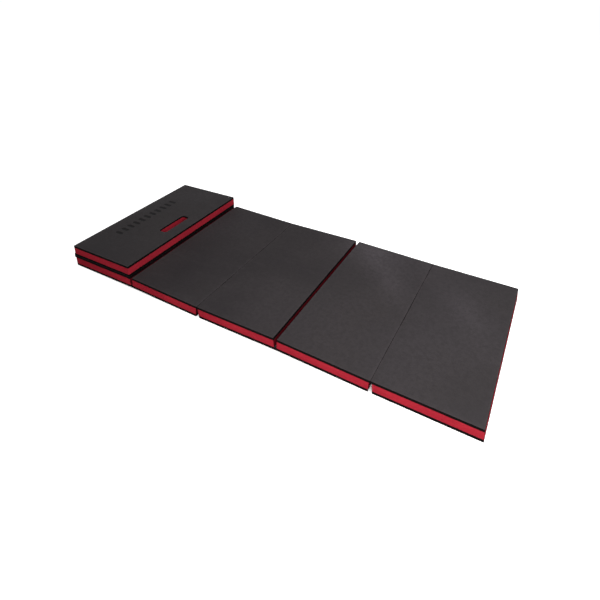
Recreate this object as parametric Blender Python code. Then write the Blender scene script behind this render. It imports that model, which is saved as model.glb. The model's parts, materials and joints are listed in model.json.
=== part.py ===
"""Six-panel folding gym mat of laminated closed-cell foam, lying with its handle panel folded over.

Each panel is a red core glued between two black skins. The skins run on across the creases in turn,
top, bottom, top, bottom, top, so the mat fan-folds; a V groove opens opposite every running skin.
X runs along the mat, Y across it (the front edge is at -Y), Z up, and the mat rests on z = 0.
"""
import math

import bmesh
import bpy
from mathutils import Matrix

PANELS = 6               # panel 1 carries the hand slot, panel 6 is the far end of the chain
DEPTH = 0.600            # across the mat
PITCH = 0.295            # crease to crease
THICK = 0.042            # one panel
SKIN = 0.009             # one black skin
GLUE = 0.0002            # left between two layers
ROOT = 0.0075            # groove width at the running skin
MOUTH = 0.012            # groove width at the open face
FOLD_MOUTH = 0.0085      # the same at crease 1_2, which is cut almost square
HANDLE_END = 0.005       # how far short of a crease's place the handle panel's free end stops
FAR_TOP = 0.0088         # the same for the far panel's free end, at its top
FAR_FOOT = 0.0062        # and at its foot: it is cut a little out of square
CLEAR = 0.00015          # from a crease's axis to the skin it turns about
TILT = 1.0               # degrees that a panel lies off the flat, from the creases' memory
ROUND = 0.0012           # rounding of the skins' outer edges
WEB_GAP = 0.0002         # from a web to the skins it joins
FOLD_BULGE = 0.0040      # how far the folded web stands out past the skins it joins
SLOT_LENGTH = 0.135
SLOT_WIDTH = 0.035
SLOT_CORNER = 0.010
SLOT_EDGE = 0.052        # from the handle panel's free end to its slot

BLACK = (0.035, 0.030, 0.032, 1.0)
WEB_BLACK = (0.028, 0.024, 0.026, 1.0)
RED = (0.480, 0.022, 0.040, 1.0)


def clear_scene():
    for found in list(bpy.data.objects):
        bpy.data.objects.remove(found, do_unlink=True)


def new_collection(name):
    made = bpy.data.collections.new(name)
    bpy.context.scene.collection.children.link(made)
    return made


def foam(name, colour, roughness):
    """One part's own plain foam material."""
    made = bpy.data.materials.new(name)
    made.use_nodes = True
    shader = made.node_tree.nodes["Principled BSDF"]
    shader.inputs["Base Color"].default_value = colour
    shader.inputs["Roughness"].default_value = roughness
    shader.inputs["Metallic"].default_value = 0.0
    return made


def empty(name, parent, x, z, turn, collection):
    """Axes standing on a crease, turned about Y by so many degrees."""
    made = bpy.data.objects.new(name, None)
    made.empty_display_size = 0.03
    made.parent = parent
    made.location = (x, 0.0, z)
    made.rotation_euler = (0.0, math.radians(turn), 0.0)
    collection.objects.link(made)
    return made


def eased(points, corners, steps=3):
    """The outline with the listed corners turned into small arcs."""
    out = []
    for i, (x, z) in enumerate(points):
        if i not in corners:
            out.append((x, z))
            continue
        arms = []
        for nx, nz in (points[i - 1], points[(i + 1) % len(points)]):
            length = math.hypot(nx - x, nz - z)
            arms.append(((nx - x) / length * ROUND, (nz - z) / length * ROUND))
        (ax, az), (bx, bz) = arms
        for k in range(steps + 1):
            t = k / steps
            out.append((x + ax * (1 - t) ** 2 + bx * t ** 2, z + az * (1 - t) ** 2 + bz * t ** 2))
    return out


def slab(name, outline, half_depth, collection):
    """A closed mesh of this flat outline, raised half_depth each way along local Z."""
    curve = bpy.data.curves.new(name + "_outline", "CURVE")
    curve.dimensions = "2D"
    curve.fill_mode = "BOTH"
    curve.extrude = half_depth
    spline = curve.splines.new("POLY")
    spline.points.add(len(outline) - 1)
    for point, (x, y) in zip(spline.points, outline):
        point.co = (x, y, 0.0, 1.0)
    spline.use_cyclic_u = True
    drawn = bpy.data.objects.new(name + "_outline", curve)
    collection.objects.link(drawn)
    bpy.context.view_layer.update()
    mesh = bpy.data.meshes.new_from_object(
        drawn.evaluated_get(bpy.context.evaluated_depsgraph_get()))
    bpy.data.objects.remove(drawn, do_unlink=True)
    mesh.name = name
    return mesh


def weld(mesh, turn):
    """Join the caps to the walls, turned about X by so many degrees."""
    work = bmesh.new()
    work.from_mesh(mesh)
    bmesh.ops.remove_doubles(work, verts=work.verts, dist=0.00001)
    bmesh.ops.transform(work, matrix=Matrix.Rotation(math.radians(turn), 4, "X"), verts=work.verts)
    bmesh.ops.recalc_face_normals(work, faces=work.faces)
    work.to_mesh(mesh)
    work.free()


def bar(name, outline, parent, colour, roughness, collection):
    """A bar as deep as the mat with this X-Z outline, in its parent's axes."""
    mesh = slab(name, outline, DEPTH / 2, collection)
    weld(mesh, 90)
    mesh.materials.clear()
    mesh.materials.append(foam(name + "_foam", colour, roughness))
    made = bpy.data.objects.new(name, mesh)
    made.parent = parent
    collection.objects.link(made)
    return made


def runs_on_top(crease):
    """Whether the skin that runs across this crease is the top one."""
    return crease % 2 == 1


def groove_half(crease, height):
    """Half of a groove's width, this far from the face of the skin that runs across it."""
    if height <= SKIN:
        return ROOT / 2
    mouth = FOLD_MOUTH if crease == 1 else MOUTH
    return (ROOT + (mouth - ROOT) * (height - SKIN) / (THICK - SKIN)) / 2


def end_inset(number, side, z):
    """How far a panel's end stands back from the crease line, at a height in the laid-out mat."""
    crease = number - 1 if side == "left" else number
    if crease == 0:
        return HANDLE_END
    if crease == PANELS:
        return FAR_FOOT + (FAR_TOP - FAR_FOOT) * z / THICK
    return groove_half(crease, THICK - z if runs_on_top(crease) else z)


def layer(number, low, high):
    """A panel's X-Z outline between two heights, with X = 0 on its right crease line."""
    bends = [z for z in (low, SKIN, THICK - SKIN, high) if low <= z <= high]
    heights = sorted(set(bends))
    left = [(-PITCH + end_inset(number, "left", z), z) for z in reversed(heights)]
    right = [(-end_inset(number, "right", z), z) for z in heights]
    return right + left


def panel(number, axes, shift, collection):
    """A panel's core between its two skins, under its crease's axes."""
    name = f"panel_{number}"
    layers = {
        "bottom_skin": (0.0, SKIN, BLACK, 0.72),
        "core": (SKIN + GLUE, THICK - SKIN - GLUE, RED, 0.66),
        "top_skin": (THICK - SKIN, THICK, BLACK, 0.72),
    }
    made = []
    for part, (low, high, colour, roughness) in layers.items():
        outline = layer(number, low, high)
        if part == "bottom_skin":
            outline = eased(outline, (0, len(outline) - 1))
        if part == "top_skin":
            outline = eased(outline, (len(outline) // 2 - 1, len(outline) // 2))
        moved = [(x, z + shift) for x, z in outline]
        made.append(bar(f"{name}_{part}", moved, axes, colour, roughness, collection))
    return made


def flat_web(crease, axes, collection):
    """The strip of skin that runs across an open crease."""
    half = ROOT / 2 - WEB_GAP
    side = -1.0 if runs_on_top(crease) else 1.0
    near, far = side * CLEAR, side * (CLEAR + SKIN)
    bar(f"crease_{crease}_{crease + 1}_web", [(-half, near), (half, near), (half, far), (-half, far)],
        axes, WEB_BLACK, 0.74, collection)


def folded_web(crease, axes, collection, steps=12):
    """The strip of skin that wraps round the end of a closed crease."""
    outline = []
    for k in range(steps + 1):
        turn = math.pi * (k / steps - 0.5)
        outline.append((ROOT / 2 - WEB_GAP - FOLD_BULGE * math.cos(turn),
                        (SKIN + CLEAR) * math.sin(turn)))
    bar(f"crease_{crease}_{crease + 1}_web", outline, axes, WEB_BLACK, 0.74, collection)


def hand_slot(parts, axes, shift, cutters):
    """A round-cornered slot through the handle panel, near its free end."""
    middle = -PITCH + HANDLE_END + SLOT_EDGE + SLOT_WIDTH / 2
    outline = []
    for quarter, (sx, sy) in enumerate(((1, 1), (-1, 1), (-1, -1), (1, -1))):
        for k in range(9):
            turn = math.pi / 2 * (quarter + k / 8)
            outline.append((middle + sx * (SLOT_WIDTH / 2 - SLOT_CORNER) + SLOT_CORNER * math.cos(turn),
                            sy * (SLOT_LENGTH / 2 - SLOT_CORNER) + SLOT_CORNER * math.sin(turn)))
    mesh = slab("hand_slot_cutter", outline, THICK, cutters)
    weld(mesh, 0)
    cutter = bpy.data.objects.new("hand_slot_cutter", mesh)
    cutter.parent = axes
    cutter.location.z = THICK / 2 + shift
    cutter.hide_render = True
    cutter.display_type = "WIRE"
    cutters.objects.link(cutter)
    for part in parts:
        cut = part.modifiers.new("hand_slot", "BOOLEAN")
        cut.operation = "DIFFERENCE"
        cut.solver = "EXACT"
        cut.object = cutter


def build():
    clear_scene()
    mat = new_collection("folding_gym_mat")
    cutters = new_collection("cutters")

    # degrees about Y off the flat: the handle panel is turned right over, parallel to the one below
    tilts = {6: 0.0, 5: TILT, 4: -TILT, 3: TILT, 2: -TILT, 1: 180.0 - TILT}
    slope = math.radians(TILT)
    step = PITCH * math.cos(slope) + (THICK + 2 * CLEAR) * math.sin(slope)
    left = -PITCH - 4 * step + ROOT / 2 - WEB_GAP - FOLD_BULGE
    right = -FAR_FOOT

    # the chain runs leftwards from the flat end panel: each panel's axes stand on its right crease
    axes = empty("panel_6_axes", None, -(left + right) / 2, 0.0, 0.0, mat)
    panel(PANELS, axes, 0.0, mat)
    shift = 0.0
    for crease in range(PANELS - 1, 0, -1):
        name = f"crease_{crease}_{crease + 1}"
        height = THICK + CLEAR if runs_on_top(crease) else -CLEAR
        turn = tilts[crease] - tilts[crease + 1]
        place = (axes, -PITCH, height + shift)
        shift = -height
        if crease == 1:
            folded_web(crease, empty(name + "_fold", *place, 0.0, mat), mat)
        else:
            flat_web(crease, empty(name + "_middle", *place, turn / 2, mat), mat)
        axes = empty(name + "_axes", *place, turn, mat)
        parts = panel(crease, axes, shift, mat)
    hand_slot(parts, axes, shift, cutters)


build()
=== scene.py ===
"""Six-panel folding gym mat of laminated foam, lying with its handle panel folded over.

Each panel is a red core between two black skins, and a web of skin bends at each crease. A panel's
pieces are made in its own (u, y, v) and laid where the frame's joints put it.
"""
import json
import math

import bmesh
import bpy
from mathutils import Matrix, Vector, noise


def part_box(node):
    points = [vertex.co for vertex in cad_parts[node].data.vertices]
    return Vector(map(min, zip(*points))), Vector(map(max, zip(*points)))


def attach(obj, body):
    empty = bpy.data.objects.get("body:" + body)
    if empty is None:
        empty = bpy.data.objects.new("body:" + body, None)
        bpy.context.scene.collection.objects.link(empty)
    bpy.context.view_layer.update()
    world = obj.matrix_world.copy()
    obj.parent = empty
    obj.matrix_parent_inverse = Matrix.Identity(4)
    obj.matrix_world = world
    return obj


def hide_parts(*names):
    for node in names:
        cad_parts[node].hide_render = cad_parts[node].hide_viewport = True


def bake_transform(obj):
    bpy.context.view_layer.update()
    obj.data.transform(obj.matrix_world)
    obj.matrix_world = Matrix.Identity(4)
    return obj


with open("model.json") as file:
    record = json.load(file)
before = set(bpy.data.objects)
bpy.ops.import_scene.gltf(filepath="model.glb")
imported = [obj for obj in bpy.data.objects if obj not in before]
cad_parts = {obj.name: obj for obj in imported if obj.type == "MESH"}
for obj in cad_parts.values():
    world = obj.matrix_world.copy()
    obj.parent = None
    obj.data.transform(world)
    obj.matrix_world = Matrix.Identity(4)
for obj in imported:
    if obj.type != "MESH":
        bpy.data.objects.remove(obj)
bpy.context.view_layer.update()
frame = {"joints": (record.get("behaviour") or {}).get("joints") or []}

PANELS = 6
DEPTH = 0.600
PITCH = 0.295
THICK = 0.042
SKIN = 0.009
ROOT = 0.0075            # groove width at the running skin
MOUTH = 0.012            # groove width at the open face
FOLD_MOUTH = 0.0085      # the same at crease 1_2
HANDLE_END = 0.005       # how far short of a crease's place the handle panel's free end stops
FAR_TOP = 0.0088         # the same for the far panel's free end, at its top and at its foot
FAR_FOOT = 0.0062
SEAM = 0.00012           # depth of the fine line between two glued layers
RIM = 0.0007             # rounding of a skin's outer edges
RUN_RIM = 0.0004         # the same where a skin runs on across a crease
MEET = 0.0004            # from a crease's line to the skins that meet on it
TILT = 1.0               # degrees that a panel lies off the flat
SLOT_LENGTH = 0.135
SLOT_WIDTH = 0.035
SLOT_CORNER = 0.010
SLOT_EDGE = 0.052        # from the handle panel's free end to its slot
SLOT_MIDDLE = -PITCH + HANDLE_END + SLOT_EDGE + SLOT_WIDTH / 2
SLOT_RIM = 0.0035        # width of the slot's soft rim
SLOT_SINK = 0.0020       # how far the rim sinks at the cut

RIB_COUNT = 11           # the row of plain dents beside the slot
RIB_PITCH = 0.0290
RIB_LENGTH = 0.036
RIB_WIDTH = 0.0135
RIB_DEPTH = 0.0011
RIB_SLOPE = 0.0016       # width of a dent's soft edge
RIB_MIDDLE = (-0.082, -0.010)

WAVES = ((0.11, 0.00028), (0.035, 0.00010))    # size and depth of a face's slow and fine unevenness
CROWN = (0.010, 0.00035)                       # how far in and how deep a face falls to its edges
VALLEY = (0.0035, 0.0007)                      # half width and depth of the dip along a running crease

GRID = 0.006             # spacing of the faces' mesh
CLOSEST = 0.00008        # marks nearer to each other than this are merged
FINE_SLOT = 0.0008       # the mesh's spacing along u round the slot
FINE_RIBS = 0.0012       # the same round the dents
FINE_ACROSS = 0.0013     # and along y round both
WALL_ROWS = 5            # rows of mesh up a layer's cut walls
PALE_RIM = 0.0030        # how far in from its edges a face is made paler
PALE_GLUED = 0.15        # how pale a skin's glued face is, where 1 is the edge of its outer face
WEB_STEPS = 60           # pieces of a web's mesh across the mat
WEB_INSET = 0.0004       # how far a web's ends stand back from the mat's sides
WEB_TUCK = 0.0001        # how far a web stays inside the skins' faces
WEB_HALF = 0.0018        # half the width of an open crease's web
WEB_NEAR = 0.0012        # from an open crease's axis to its web
FOLD_SEAT = 0.00025      # where the folded web starts, beside its crease's axis
FOLD_BULGE = 0.0023      # how far it stands out from there

joints = {j["name"]: j for j in frame["joints"]}


def runs_on_top(crease):
    """Whether the skin that runs across this crease is the mat's top one."""
    return crease % 2 == 1


class Panel:
    """Where one panel lies: u runs along it from its right crease line, v up from its underside."""

    def __init__(self, number):
        self.number = number
        if number == PANELS:
            self.x = joints[f"crease_{number - 1}_{number}"]["pos_m"][0] + PITCH
            self.z, self.turn, self.shift = 0.0, 0.0, 0.0
        else:
            place = joints[f"crease_{number}_{number + 1}"]["pos_m"]
            self.x, self.z = place[0], place[2]
            lean = TILT if number % 2 == 1 else -TILT
            self.turn = math.radians(180.0 - TILT if number == 1 else lean)
            gap = abs(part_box("panel_6_top_skin")[1][2] - joints["crease_5_6"]["pos_m"][2])
            self.shift = -(THICK + gap) if runs_on_top(number) else gap

    def matrix(self):
        """From (u, y, v) to the row frame."""
        return (Matrix.Translation((self.x, 0.0, self.z)) @ Matrix.Rotation(self.turn, 4, "Y")
                @ Matrix.Translation((0.0, 0.0, self.shift)))

    def crease(self, side):
        """The number of the crease at this end, which is 0 or PANELS at a free end."""
        return self.number - 1 if side == "left" else self.number

    def in_groove(self, side):
        """Whether this end of the panel faces its neighbour across a laid-out crease."""
        return 1 < self.crease(side) < PANELS

    def inset(self, side, v, running):
        """How far the end stands back from the crease line at a height."""
        crease = self.crease(side)
        if crease == 0:
            return HANDLE_END
        if crease == PANELS:
            return FAR_FOOT + (FAR_TOP - FAR_FOOT) * v / THICK
        height = THICK - v if runs_on_top(crease) else v
        if height <= SKIN:
            return MEET if running else ROOT / 2
        mouth = FOLD_MOUTH if crease == 1 else MOUTH
        return (ROOT + (mouth - ROOT) * (height - SKIN) / (THICK - SKIN)) / 2


def stations(length, rim, step, dense=()):
    """Distances along a side, close together in its rounded ends and in the dense spans."""
    marks = [0.0, length]
    for k in range(1, 5):
        reach = rim * (1 - math.cos(k * math.pi / 8))
        marks += [reach, length - reach]
    count = max(2, math.ceil((length - 2 * rim) / step))
    marks += [rim + (length - 2 * rim) * k / count for k in range(1, count)]
    for low, high, fine in dense:
        marks = [m for m in marks if not low < m < high]
        count = math.ceil((high - low) / fine)
        marks += [low + (high - low) * k / count for k in range(count + 1)]
    marks.sort()
    kept = [marks[0]]
    for m in marks[1:]:
        if m - kept[-1] > CLOSEST:
            kept.append(m)
    return kept


def rolled(near, far, rim_near, rim_far):
    """0 away from both edges and 1 on one, with the sign of the edge it is near."""
    if near < rim_near:
        return -(1 - near / rim_near)
    if far < rim_far:
        return 1 - far / rim_far
    return 0.0


class Layer:
    """One layer of a panel as a closed mesh, with s along and t across it from one corner.

    outer is "top" or "bottom" on a skin, which gets a rounded outer face, and None on the core. Vertex
    attribute "rim" says how near an edge is, and "pressed" how deep in a dent.
    """

    def __init__(self, panel, low, high, outer, dense_u=(), dense_y=()):
        self.panel, self.low, self.high, self.outer = panel, low, high, outer
        self.face = high if outer == "top" else low
        self.inward = -1.0 if outer == "top" else 1.0
        self.first_u, last_u = self.ends(self.face)
        self.width = last_u - self.first_u
        self.rims = {side: self.rim_of(side) for side in ("left", "right")}
        self.us = stations(self.width, RIM, GRID,
                           [(a - self.first_u, b - self.first_u, f) for a, b, f in dense_u])
        self.ys = stations(DEPTH, RIM, GRID,
                           [(a + DEPTH / 2, b + DEPTH / 2, f) for a, b, f in dense_y])
        self.work = bmesh.new()
        self.rim = self.work.verts.layers.float.new("rim")
        self.pressed = self.work.verts.layers.float.new("pressed")

    def ends(self, v):
        """u of the layer's two ends at a height."""
        running = self.outer is not None
        return (-PITCH + self.panel.inset("left", v, running),
                -self.panel.inset("right", v, running))

    def rim_of(self, side):
        """The rounding of an end's edge, which is small where the skin runs on across the crease."""
        crease = self.panel.crease(side)
        if self.outer and crease not in (0, PANELS) and runs_on_top(crease) == (self.outer == "top"):
            return RUN_RIM
        return RIM

    def spot(self, s, y, v, pull=0.0, way=(0.0, 0.0)):
        """A new vertex, pulled in from the way out."""
        left, right = self.ends(v)
        u = left + (right - left) * s / self.width
        return self.work.verts.new((u - way[0] * pull, y - way[1] * pull, v))

    def mapped(self, s, t):
        """Grid marks pulled onto the rounded plan corners, how far over the rim, and the way out."""
        a = rolled(s, self.width - s, self.rims["left"], self.rims["right"])
        b = rolled(t, DEPTH - t, RIM, RIM)
        a2, b2 = a * math.sqrt(1 - b * b / 2), b * math.sqrt(1 - a * a / 2)
        if a < 0:
            s = self.rims["left"] * (1 + a2)
        elif a > 0:
            s = self.width - self.rims["right"] * (1 - a2)
        if b < 0:
            t = RIM * (1 + b2)
        elif b > 0:
            t = DEPTH - RIM * (1 - b2)
        over = min(1.0, a2 * a2 + b2 * b2)
        return s, t - DEPTH / 2, over, (a2, b2)

    def ring(self):
        """The grid's outermost marks in order round the layer."""
        right, far = len(self.us) - 1, len(self.ys) - 1
        return ([(i, 0) for i in range(right + 1)] + [(right, j) for j in range(1, far + 1)]
                + [(i, far) for i in range(right - 1, -1, -1)] + [(0, j) for j in range(far - 1, 0, -1)])

    def outer_face(self, relief, press):
        """The skin's face, dipping by relief(u, y, edge). Gives the vertices round its edge."""
        grid = {}
        for i, s in enumerate(self.us):
            for j, t in enumerate(self.ys):
                gs, y, over, _ = self.mapped(s, t)
                edge = min(gs, self.width - gs, y + DEPTH / 2, DEPTH / 2 - y)
                drop = RIM * (1 - math.sqrt(max(0.0, 1 - over)))
                drop += relief(gs + self.first_u, y, edge) * (1 - over)
                vert = self.spot(gs, y, self.face + self.inward * drop)
                vert[self.rim] = math.exp(-edge / PALE_RIM)
                vert[self.pressed] = press(gs + self.first_u, y) if press else 0.0
                grid[i, j] = vert
        for i in range(len(self.us) - 1):
            for j in range(len(self.ys) - 1):
                self.work.faces.new([grid[i, j], grid[i + 1, j], grid[i + 1, j + 1], grid[i, j + 1]])
        return [grid[mark] for mark in self.ring()]

    def wall_rows(self):
        """Heights of the walls' rows, and how far each is pulled in for the seam at a glued face."""
        glued = self.high if self.outer == "bottom" else self.low
        start = self.face + self.inward * RIM if self.outer else self.high - SEAM
        toward = -1.0 if glued < start else 1.0
        rows = [] if self.outer else [(self.high, SEAM), (self.high - SEAM, 0.0)]
        for k in range(1, WALL_ROWS + 1):
            rows.append((start + (glued - toward * SEAM - start) * k / WALL_ROWS, 0.0))
        return rows + [(glued, SEAM)]

    def wall_row(self, v, pull):
        """The vertices of one row round the layer."""
        made = []
        for i, j in self.ring():
            s, y, _, way = self.mapped(self.us[i], self.ys[j])
            length = math.hypot(*way) or 1.0
            vert = self.spot(s, y, v, pull, (way[0] / length, way[1] / length))
            vert[self.rim] = PALE_GLUED
            made.append(vert)
        return made

    def is_cut_face(self, mark, following):
        """Whether a wall takes the second material: a skin's edge, or a core's end inside a groove, in the
        core's darker red of painted shade.
        """
        at_end = {"left": mark[0] == following[0] == 0,
                  "right": mark[0] == following[0] == len(self.us) - 1}
        return bool(self.outer) or any(at_end[side] and self.panel.in_groove(side) for side in at_end)

    def build(self, relief=None, press=None):
        """The whole mesh: a skin's outer face or a core's upper one, the walls and the last glued face."""
        ring = self.ring()
        last = self.outer_face(relief, press) if self.outer else None
        first = None
        for v, pull in self.wall_rows():
            made = self.wall_row(v, pull)
            if last is None:
                first = made
            else:
                for k in range(len(ring)):
                    n = (k + 1) % len(ring)
                    wall = self.work.faces.new([last[k], last[n], made[n], made[k]])
                    wall.material_index = int(self.is_cut_face(ring[k], ring[n]))
            last = made
        self.work.faces.new(last)
        if first:
            self.work.faces.new(first)
        bmesh.ops.recalc_face_normals(self.work, faces=self.work.faces)
        return self.work


def wander(point, size):
    """Smooth noise, about -1 to 1, that changes over this size."""
    return noise.noise(Vector(point) / size)


def laid_relief(number, outer):
    """The slight unevenness of a laminated sheet and the shallow valley along each bending crease."""
    creases = [x for x, crease in ((-PITCH, number - 1), (0.0, number))
               if crease not in (0, PANELS) and runs_on_top(crease) == (outer == "top")]

    def relief(u, y, edge):
        # each face takes its own part of the noise
        place = (u + number * 3.1, y, 0.37 * number if outer == "top" else 5.0 + 0.37 * number)
        slow, fine = (wander(place, size) * 0.5 + 0.5 for size, _ in WAVES)
        crown = math.exp(-edge / CROWN[0])
        valley = sum(math.exp(-abs(u - x) / VALLEY[0]) for x in creases)
        return WAVES[0][1] * slow + WAVES[1][1] * fine + CROWN[1] * crown + VALLEY[1] * valley
    return relief


def slot_distance(u, y):
    """How far outside the hand slot a point of the handle panel lies, negative inside it."""
    a = abs(u - SLOT_MIDDLE) - (SLOT_WIDTH / 2 - SLOT_CORNER)
    b = abs(y) - (SLOT_LENGTH / 2 - SLOT_CORNER)
    return math.hypot(max(a, 0.0), max(b, 0.0)) + min(max(a, b), 0.0) - SLOT_CORNER


def slot_rim(u, y):
    """How far the slot's soft rim sinks at a point."""
    over = 1 - min(max(slot_distance(u, y), 0.0) / SLOT_RIM, 1.0)
    return SLOT_SINK * over * over


def rib_press(u, y):
    """Where the row of plain round-ended dents is pressed into the handle panel: 1 inside, 0 outside."""
    along = y - RIB_MIDDLE[1]
    index = round(along / RIB_PITCH)
    if abs(index) > RIB_COUNT // 2:
        return 0.0
    a = max(abs(u - RIB_MIDDLE[0]) - (RIB_LENGTH - RIB_WIDTH) / 2, 0.0)
    b = along - index * RIB_PITCH
    inside = RIB_WIDTH / 2 - math.hypot(a, b)
    t = min(max(inside / RIB_SLOPE + 0.5, 0.0), 1.0)
    return t * t * (3 - 2 * t)


def handle_relief(u, y, edge):
    """The handle panel's upper face: uneven foam, the slot's soft rim and the pressed row of dents."""
    return laid_relief(1, "bottom")(u, y, edge) + slot_rim(u, y) + RIB_DEPTH * rib_press(u, y)


def slotted_relief(u, y, edge):
    """The handle panel's other face, which lies against panel 2."""
    return laid_relief(1, "top")(u, y, edge) + slot_rim(u, y)


def rounded_rectangle(width, length, corner, steps=8):
    """A rectangle's outline about the origin, with arcs at its corners."""
    points = []
    for quarter, (sx, sy) in enumerate(((1, 1), (-1, 1), (-1, -1), (1, -1))):
        for k in range(steps + 1):
            turn = math.pi / 2 * (quarter + k / steps)
            points.append((sx * (width / 2 - corner) + corner * math.cos(turn),
                           sy * (length / 2 - corner) + corner * math.sin(turn)))
    return points


def slot_cutter(panel):
    """The hand slot's shape, standing 20 mm past both faces of the handle panel."""
    work = bmesh.new()
    outline = rounded_rectangle(SLOT_WIDTH, SLOT_LENGTH, SLOT_CORNER)
    rings = [[work.verts.new((SLOT_MIDDLE + x, y, v)) for x, y in outline]
             for v in (-0.02, THICK + 0.02)]
    for k in range(len(outline)):
        n = (k + 1) % len(outline)
        work.faces.new([rings[0][k], rings[0][n], rings[1][n], rings[1][k]])
    work.faces.new(rings[0][::-1])
    work.faces.new(rings[1])
    bmesh.ops.recalc_face_normals(work, faces=work.faces)
    return as_object("slot_cutter", work, panel.matrix())


def as_object(name, work, matrix, *materials):
    """The mesh as an object at the row frame's origin, with its place in its vertices."""
    mesh = bpy.data.meshes.new(name)
    work.transform(matrix)
    work.to_mesh(mesh)
    work.free()
    for face in mesh.polygons:
        face.use_smooth = True
    for material in materials:
        mesh.materials.append(material)
    made = bpy.data.objects.new(name, mesh)
    bpy.context.scene.collection.objects.link(made)
    return made


def cut(piece, cutter, back, wall_material):
    """Take the cutter's shape out of the piece and give the new walls their material.

    back leads from the row frame to the panel's own.
    """
    step = piece.modifiers.new("slot", "BOOLEAN")
    step.operation, step.solver, step.object = "DIFFERENCE", "EXACT", cutter
    bpy.context.view_layer.update()
    done = bpy.data.meshes.new_from_object(
        piece.evaluated_get(bpy.context.evaluated_depsgraph_get()))
    piece.modifiers.clear()
    piece.data = done
    for face in done.polygons:
        u, y, _ = back @ face.center
        upright = abs((back.to_3x3() @ face.normal).z) < 0.3
        if upright and abs(slot_distance(u, y)) < 0.001:
            face.material_index = wall_material


def shade_by_angle(piece, degrees=40):
    """Smooth over the gentle bends, sharp at the cut edges."""
    work = bmesh.new()
    work.from_mesh(piece.data)
    for edge in work.edges:
        edge.smooth = len(edge.link_faces) == 2 and edge.calc_face_angle(0) < math.radians(degrees)
    work.to_mesh(piece.data)
    work.free()


class Nodes:
    """Short calls for building one material's node tree."""

    def __init__(self, name):
        self.material = bpy.data.materials.new(name)
        self.material.use_nodes = True
        self.tree = self.material.node_tree
        self.shader = self.tree.nodes["Principled BSDF"]
        self.place = self.tree.nodes.new("ShaderNodeTexCoord").outputs["Object"]

    def link(self, out, into):
        self.tree.links.new(out, into)

    def scaled(self, scale):
        made = self.tree.nodes.new("ShaderNodeMapping")
        made.inputs["Scale"].default_value = scale
        self.link(self.place, made.inputs["Vector"])
        return made.outputs["Vector"]

    def noise(self, scale, detail=3.0, rough=0.55, vector=None):
        made = self.tree.nodes.new("ShaderNodeTexNoise")
        made.inputs["Scale"].default_value = scale
        made.inputs["Detail"].default_value = detail
        made.inputs["Roughness"].default_value = rough
        self.link(vector or self.place, made.inputs["Vector"])
        return made.outputs["Fac"]

    def cells(self, scale):
        made = self.tree.nodes.new("ShaderNodeTexVoronoi")
        made.inputs["Scale"].default_value = scale
        self.link(self.place, made.inputs["Vector"])
        return made.outputs["Distance"]

    def spread(self, value, low, high, to_low, to_high):
        made = self.tree.nodes.new("ShaderNodeMapRange")
        self.link(value, made.inputs["Value"])
        for key, number in (("From Min", low), ("From Max", high),
                            ("To Min", to_low), ("To Max", to_high)):
            made.inputs[key].default_value = number
        return made.outputs["Result"]

    def maths(self, operation, a, b):
        made = self.tree.nodes.new("ShaderNodeMath")
        made.operation = operation
        for socket, value in zip(made.inputs, (a, b)):
            if isinstance(value, (int, float)):
                socket.default_value = value
            else:
                self.link(value, socket)
        return made.outputs["Value"]

    def mix(self, share, a, b):
        """Two colours mixed. Sockets 6 and 7 are the node's colour inputs, and 2 its colour output."""
        made = self.tree.nodes.new("ShaderNodeMix")
        made.data_type = "RGBA"
        self.link(share, made.inputs["Factor"])
        for socket, value in ((made.inputs[6], a), (made.inputs[7], b)):
            if isinstance(value, tuple):
                socket.default_value = value
            else:
                self.link(value, socket)
        return made.outputs[2]

    def bump(self, height, distance, strength, under=None):
        made = self.tree.nodes.new("ShaderNodeBump")
        made.inputs["Distance"].default_value = distance
        made.inputs["Strength"].default_value = strength
        self.link(height, made.inputs["Height"])
        if under:
            self.link(under, made.inputs["Normal"])
        return made.outputs["Normal"]

    def patch(self, centre, reach, turn=0.0):
        """1 in the middle of a soft oval on the panels' faces and 0 outside it."""
        made = self.tree.nodes.new("ShaderNodeMapping")
        made.vector_type = "TEXTURE"
        made.inputs["Location"].default_value = (*centre, THICK)
        made.inputs["Rotation"].default_value = (0.0, 0.0, math.radians(turn))
        made.inputs["Scale"].default_value = (*reach, 1.0)
        self.link(self.place, made.inputs["Vector"])
        ball = self.tree.nodes.new("ShaderNodeTexGradient")
        ball.gradient_type = "QUADRATIC_SPHERE"
        self.link(made.outputs["Vector"], ball.inputs["Vector"])
        return ball.outputs["Fac"]

    def attribute(self, name):
        made = self.tree.nodes.new("ShaderNodeAttribute")
        made.attribute_name = name
        return made.outputs["Fac"]


# where the faces are painted paler in soft ovals, as painted sheen: middle and half lengths of a soft
# oval, its turn in degrees, strength
PAINTED_SHEEN_PATCHES = (
    ((0.23, 0.27), (0.22, 0.16), 0.0, 1.30),
    ((0.32, 0.16), (0.28, 0.11), -48.0, 0.85),
    ((0.61, 0.09), (0.32, 0.11), -50.0, 0.50),
    ((0.45, 0.30), (0.55, 0.42), 0.0, 0.25),
)


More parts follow.
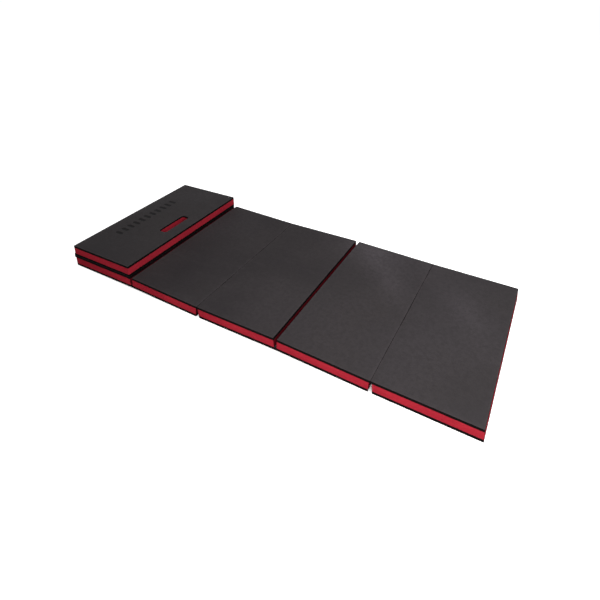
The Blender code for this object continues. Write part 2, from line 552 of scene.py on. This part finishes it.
def skin_foam():
    """Black closed-cell skin: a fine pebbled face, cloudy tone, painted sheen in soft lighter clouds and
    ovals, and paler rims.
    """
    n = Nodes("black_skin_foam")
    clouds = n.noise(4.5, 3.0, 0.5)
    mottle = n.noise(85.0, 4.0, 0.7)
    streaks = n.noise(1.0, 3.0, 0.6, n.scaled((9.0, 30.0, 30.0)))
    grain = n.noise(700.0, 2.0)
    tone = n.mix(n.spread(clouds, 0.3, 0.7, 0.0, 1.0),
                 (0.0230, 0.0194, 0.0212, 1.0), (0.0310, 0.0266, 0.0272, 1.0))
    tone = n.mix(n.spread(streaks, 0.52, 0.78, 0.0, 0.30), tone, (0.044, 0.038, 0.040, 1.0))
    # lighter clouds where a slow noise is high: painted sheen, placed at random
    tone = n.mix(n.spread(n.noise(2.6, 2.0, 0.5), 0.45, 0.72, 0.0, 0.45), tone,
                 (0.042, 0.0365, 0.0400, 1.0))
    # soft lighter ovals on the panels' faces, broken up by noise: painted sheen
    painted_sheen = 0.0
    for centre, reach, turn, strength in PAINTED_SHEEN_PATCHES:
        painted_sheen = n.maths("ADD", painted_sheen, n.maths("MULTIPLY", n.patch(centre, reach, turn), strength))
    painted_sheen = n.maths("MULTIPLY", painted_sheen, n.spread(n.noise(9.0, 3.0, 0.6), 0.30, 0.62, 0.60, 1.0))
    tone = n.mix(painted_sheen, tone, (0.062, 0.054, 0.059, 1.0))
    tone = n.mix(n.spread(mottle, 0.35, 0.60, 0.45, 0.0), tone, (0.0150, 0.0122, 0.0130, 1.0))
    tone = n.mix(n.spread(grain, 0.35, 0.7, 0.0, 0.25), tone, (0.012, 0.010, 0.011, 1.0))
    # paler towards the faces' edges, broken up by noise
    tone = n.mix(n.maths("MULTIPLY", n.attribute("rim"), n.spread(n.noise(60.0), 0.35, 0.65, 0.05, 0.40)),
                 tone, (0.052, 0.044, 0.046, 1.0))
    tone = n.mix(n.maths("MULTIPLY", n.attribute("pressed"), 0.95), tone, (0.0040, 0.0034, 0.0038, 1.0))
    n.link(tone, n.shader.inputs["Base Color"])
    n.link(n.spread(n.maths("ADD", n.maths("MULTIPLY", clouds, 0.6), n.maths("MULTIPLY", grain, 0.4)),
                    0.3, 0.7, 0.58, 0.80), n.shader.inputs["Roughness"])
    n.shader.inputs["Specular IOR Level"].default_value = 0.32
    under = n.bump(n.noise(45.0, 3.0), 0.0006, 0.25)
    pebble = n.bump(n.spread(n.cells(620.0), 0.0, 0.6, 1.0, 0.0), 0.00018, 0.55, under)
    n.link(n.bump(grain, 0.00008, 0.4, pebble), n.shader.inputs["Normal"])
    return n.material


def cut_skin_foam():
    """The knife-cut edge of the black skin: open, dull and darker than its faces."""
    n = Nodes("black_cut_foam")
    speckle = n.noise(900.0, 2.0)
    tone = n.mix(n.spread(n.noise(14.0), 0.3, 0.7, 0.0, 1.0),
                 (0.0022, 0.0014, 0.0015, 1.0), (0.0040, 0.0026, 0.0028, 1.0))
    tone = n.mix(n.spread(speckle, 0.45, 0.75, 0.0, 0.5), tone, (0.0080, 0.0055, 0.0060, 1.0))
    n.link(tone, n.shader.inputs["Base Color"])
    n.link(n.spread(speckle, 0.3, 0.7, 0.82, 0.95), n.shader.inputs["Roughness"])
    n.shader.inputs["Specular IOR Level"].default_value = 0.05
    cells = n.bump(n.spread(n.cells(1100.0), 0.0, 0.6, 0.0, 1.0), 0.0002, 0.6)
    n.link(n.bump(n.noise(140.0, 3.0), 0.0004, 0.3, cells), n.shader.inputs["Normal"])
    return n.material


def core_foam(name, shade=1.0):
    """Red foam cut with a blade: open cells, faint draw lines and a little unevenness of dye. A shade
    below 1 darkens every colour, as painted shade.
    """
    # each colour darkened by shade: painted shade when shade is below 1
    def dyed_and_shaded(r, g, b):
        return (r * shade, g * shade, b * shade, 1.0)

    n = Nodes(name)
    dye = n.noise(11.0, 3.0)
    speckle = n.noise(900.0, 2.0)
    tone = n.mix(n.spread(dye, 0.3, 0.7, 0.0, 1.0),
                 dyed_and_shaded(0.295, 0.0158, 0.0288), dyed_and_shaded(0.365, 0.0225, 0.0355))
    tone = n.mix(n.spread(speckle, 0.40, 0.72, 0.0, 0.40), tone, dyed_and_shaded(0.175, 0.0075, 0.016))
    tone = n.mix(n.spread(n.noise(1.0, 2.0, 0.5, n.scaled((25.0, 25.0, 420.0))), 0.5, 0.8, 0.0, 0.25),
                 tone, dyed_and_shaded(0.440, 0.042, 0.059))
    n.link(tone, n.shader.inputs["Base Color"])
    n.link(n.spread(dye, 0.3, 0.7, 0.66, 0.82), n.shader.inputs["Roughness"])
    n.shader.inputs["Specular IOR Level"].default_value = 0.0
    cells = n.bump(n.spread(n.cells(1100.0), 0.0, 0.6, 0.0, 1.0), 0.00025, 0.6)
    n.link(n.bump(n.noise(120.0, 3.0), 0.0004, 0.3, cells), n.shader.inputs["Normal"])
    return n.material


black = skin_foam()
black_cut = cut_skin_foam()
red = core_foam("red_core_foam")
# a darker copy of the red core for its ends inside the grooves: painted shade
red_in_painted_shade = core_foam("red_core_foam_in_painted_shade", 0.24)


def finish_piece(piece, node, body):
    """Shade the piece and tie it to the node it stands for. A web has no body, because it blends."""
    shade_by_angle(piece)
    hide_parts(node)
    if body:
        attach(piece, body)


def fine_spans():
    """Where the handle panel's skins need a finer mesh, along u and along y."""
    slot = SLOT_WIDTH / 2 + SLOT_RIM + 0.0005
    dents = RIB_LENGTH / 2 + 0.002
    row = RIB_COUNT * RIB_PITCH / 2 + 0.0025
    return ([(SLOT_MIDDLE - slot, SLOT_MIDDLE + slot, FINE_SLOT),
             (RIB_MIDDLE[0] - dents, RIB_MIDDLE[0] + dents, FINE_RIBS)],
            [(RIB_MIDDLE[1] - row, RIB_MIDDLE[1] + row, FINE_ACROSS)])


def build_panel(number):
    """A panel's three layers, riding on its body."""
    panel = Panel(number)
    body = f"panel_{number}"
    relief = {outer: laid_relief(number, outer) for outer in ("top", "bottom")}
    cutter = None
    if number == 1:
        relief = {"bottom": handle_relief, "top": slotted_relief}
        cutter = slot_cutter(panel)
    layers = (("bottom_skin", 0.0, SKIN, "bottom"), ("core", SKIN, THICK - SKIN, None),
              ("top_skin", THICK - SKIN, THICK, "top"))
    for part, low, high, outer in layers:
        dense = fine_spans() if number == 1 and outer else ((), ())
        press = rib_press if number == 1 and outer == "bottom" else None
        work = Layer(panel, low, high, outer, *dense).build(relief.get(outer), press)
        # a core's ends inside the grooves take the darker red of painted shade
        coats = (black, black_cut) if outer else (red, red_in_painted_shade)
        piece = as_object(f"{body}_{part}_foam", work, panel.matrix(), *coats)
        if cutter:
            cut(piece, cutter, panel.matrix().inverted(), 1 if outer else 0)
        finish_piece(piece, f"{body}_{part}", body)
    if cutter:
        bpy.data.objects.remove(cutter, do_unlink=True)


def strip(outline, marks):
    """A closed bar along Y with this X-Z outline."""
    work = bmesh.new()
    rings = [[work.verts.new((x, y, z)) for x, z in outline] for y in marks]
    for before, after in zip(rings, rings[1:]):
        for k in range(len(outline)):
            n = (k + 1) % len(outline)
            work.faces.new([before[k], before[n], after[n], after[k]])
    work.faces.new(rings[0])
    work.faces.new(rings[-1])
    bmesh.ops.recalc_face_normals(work, faces=work.faces)
    return work


def folded_outline():
    """The web round the end of the closed crease: a bulge outside, straight inside."""
    height = SKIN - WEB_TUCK
    outline = []
    for k in range(17):
        turn = math.pi * (k / 16 - 0.5)
        outline.append((FOLD_SEAT - FOLD_BULGE * math.cos(turn), height * math.sin(turn)))
    return outline + [(FOLD_SEAT, height * (1 - k / 8)) for k in range(1, 16)]


def open_outline(side):
    """The web of an open crease, above its axis or below it."""
    near, far = side * WEB_NEAR, side * (SKIN - WEB_TUCK)
    outline = [(-WEB_HALF + 2 * WEB_HALF * k / 8, near) for k in range(9)]
    outline += [(WEB_HALF, near + (far - near) * k / 4) for k in range(1, 4)]
    outline += [(WEB_HALF - 2 * WEB_HALF * k / 8, far) for k in range(9)]
    return outline + [(-WEB_HALF, far + (near - far) * k / 4) for k in range(1, 4)]


def build_web(crease):
    """The strip of skin that bends at a crease, tucked between the two skins that it joins."""
    x, _, z = joints[f"crease_{crease}_{crease + 1}"]["pos_m"]
    first, span = -DEPTH / 2 + WEB_INSET, DEPTH - 2 * WEB_INSET
    marks = [first + span * k / WEB_STEPS for k in range(WEB_STEPS + 1)]
    if crease == 1:
        outline = folded_outline()
    else:
        outline = open_outline(-1.0 if runs_on_top(crease) else 1.0)
    # halfway between its two panels: only the last crease joins panels whose leans don't cancel
    lean = TILT / 2 if crease == PANELS - 1 else 0.0
    place = Matrix.Translation((x, 0.0, z)) @ Matrix.Rotation(math.radians(lean), 4, "Y")
    piece = as_object(f"crease_{crease}_{crease + 1}_web_foam", strip(outline, marks), place, black_cut)
    finish_piece(piece, f"crease_{crease}_{crease + 1}_web", None)
    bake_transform(piece)


for number in range(1, PANELS + 1):
    build_panel(number)
for crease in range(1, PANELS):
    build_web(crease)


def area_light(name, place, aim, size, power, spread=180.0, colour=(1.0, 1.0, 1.0)):
    """A soft light at a place, turned to its aim, with its power in watts and its spread in degrees."""
    data = bpy.data.lights.new(name, "AREA")
    data.shape = "RECTANGLE"
    data.size, data.size_y = size
    data.energy = power
    data.spread = math.radians(spread)
    data.color = colour
    made = bpy.data.objects.new(name, data)
    bpy.context.scene.collection.objects.link(made)
    made.location = place
    made.rotation_euler = (Vector(aim) - Vector(place)).to_track_quat("-Z", "Y").to_euler()


def studio():
    """A plain pale floor that fades into a white surround, a soft key light, a fill and a weak back light.

    The floor glows only to the camera, and not where the mat stands close over it.
    """
    bpy.ops.mesh.primitive_plane_add(size=80.0, location=(0.0, 0.0, 0.0))
    floor = bpy.context.object
    floor.name = "floor"
    n = Nodes("floor")
    n.shader.inputs["Base Color"].default_value = (0.80, 0.80, 0.80, 1.0)
    n.shader.inputs["Roughness"].default_value = 0.9
    n.shader.inputs["Specular IOR Level"].default_value = 0.0
    glow = n.tree.nodes.new("ShaderNodeEmission")
    glow.inputs["Color"].default_value = (1.0, 1.0, 1.0, 1.0)
    hidden = n.tree.nodes.new("ShaderNodeAmbientOcclusion")
    hidden.samples = 8
    hidden.inputs["Distance"].default_value = 0.10
    n.link(n.spread(hidden.outputs["AO"], 0.05, 0.50, 0.0, 0.90), glow.inputs["Strength"])
    seen = n.tree.nodes.new("ShaderNodeLightPath")
    both = n.tree.nodes.new("ShaderNodeAddShader")
    choose = n.tree.nodes.new("ShaderNodeMixShader")
    n.link(n.shader.outputs["BSDF"], both.inputs[0])
    n.link(glow.outputs["Emission"], both.inputs[1])
    n.link(seen.outputs["Is Camera Ray"], choose.inputs["Fac"])
    n.link(n.shader.outputs["BSDF"], choose.inputs[1])
    n.link(both.outputs["Shader"], choose.inputs[2])
    n.link(choose.outputs["Shader"], n.tree.nodes["Material Output"].inputs["Surface"])
    floor.data.materials.append(n.material)

    world = bpy.data.worlds.new("surround")
    world.use_nodes = True
    bpy.context.scene.world = world
    tree = world.node_tree
    back = tree.nodes["Background"]
    back.inputs["Color"].default_value = (1.0, 1.0, 1.0, 1.0)
    seen = tree.nodes.new("ShaderNodeLightPath")
    level = tree.nodes.new("ShaderNodeMapRange")
    level.inputs["To Min"].default_value = 0.15
    level.inputs["To Max"].default_value = 1.0
    tree.links.new(seen.outputs["Is Camera Ray"], level.inputs["Value"])
    tree.links.new(level.outputs["Result"], back.inputs["Strength"])

    area_light("key", (0.95, -1.70, 1.05), (0.55, 0.0, 0.0), (1.1, 0.8), 16.0, 115.0,
               colour=(1.0, 0.955, 0.93))
    area_light("fill", (0.9, 0.5, 2.2), (0.5, 0.1, 0.0), (1.8, 1.8), 45.0,
               colour=(0.985, 0.97, 1.0))
    area_light("back", (-2.2, 1.4, 0.35), (-0.2, 0.0, 0.05), (1.6, 0.6), 4.0)

    view = bpy.context.scene.view_settings
    view.view_transform = "Standard"
    view.look = "None"


def camera():
    """The viewing angle, in degrees about a point on the floor. The focal length is in picture widths."""
    azimuth, elevation, roll = (math.radians(a) for a in (29.831, 21.417, -0.265))
    distance, aim, focal = 2.9177, Vector((-0.5867, 1.1385, 0.0)), 0.804833
    back = Vector((math.sin(azimuth) * math.cos(elevation),
                   -math.cos(azimuth) * math.cos(elevation), math.sin(elevation)))
    right = Vector((math.cos(azimuth), math.sin(azimuth), 0.0))
    up = back.cross(right)
    across = math.cos(roll) * right + math.sin(roll) * up
    upright = -math.sin(roll) * right + math.cos(roll) * up
    data = bpy.data.cameras.new("camera")
    data.sensor_width = 36.0
    data.lens = focal * data.sensor_width
    data.shift_y = -0.25
    made = bpy.data.objects.new("camera", data)
    bpy.context.scene.collection.objects.link(made)
    made.matrix_world = (Matrix.Translation(aim + back * distance)
                         @ Matrix((across, upright, back)).transposed().to_4x4())
    bpy.context.scene.camera = made


studio()
camera()
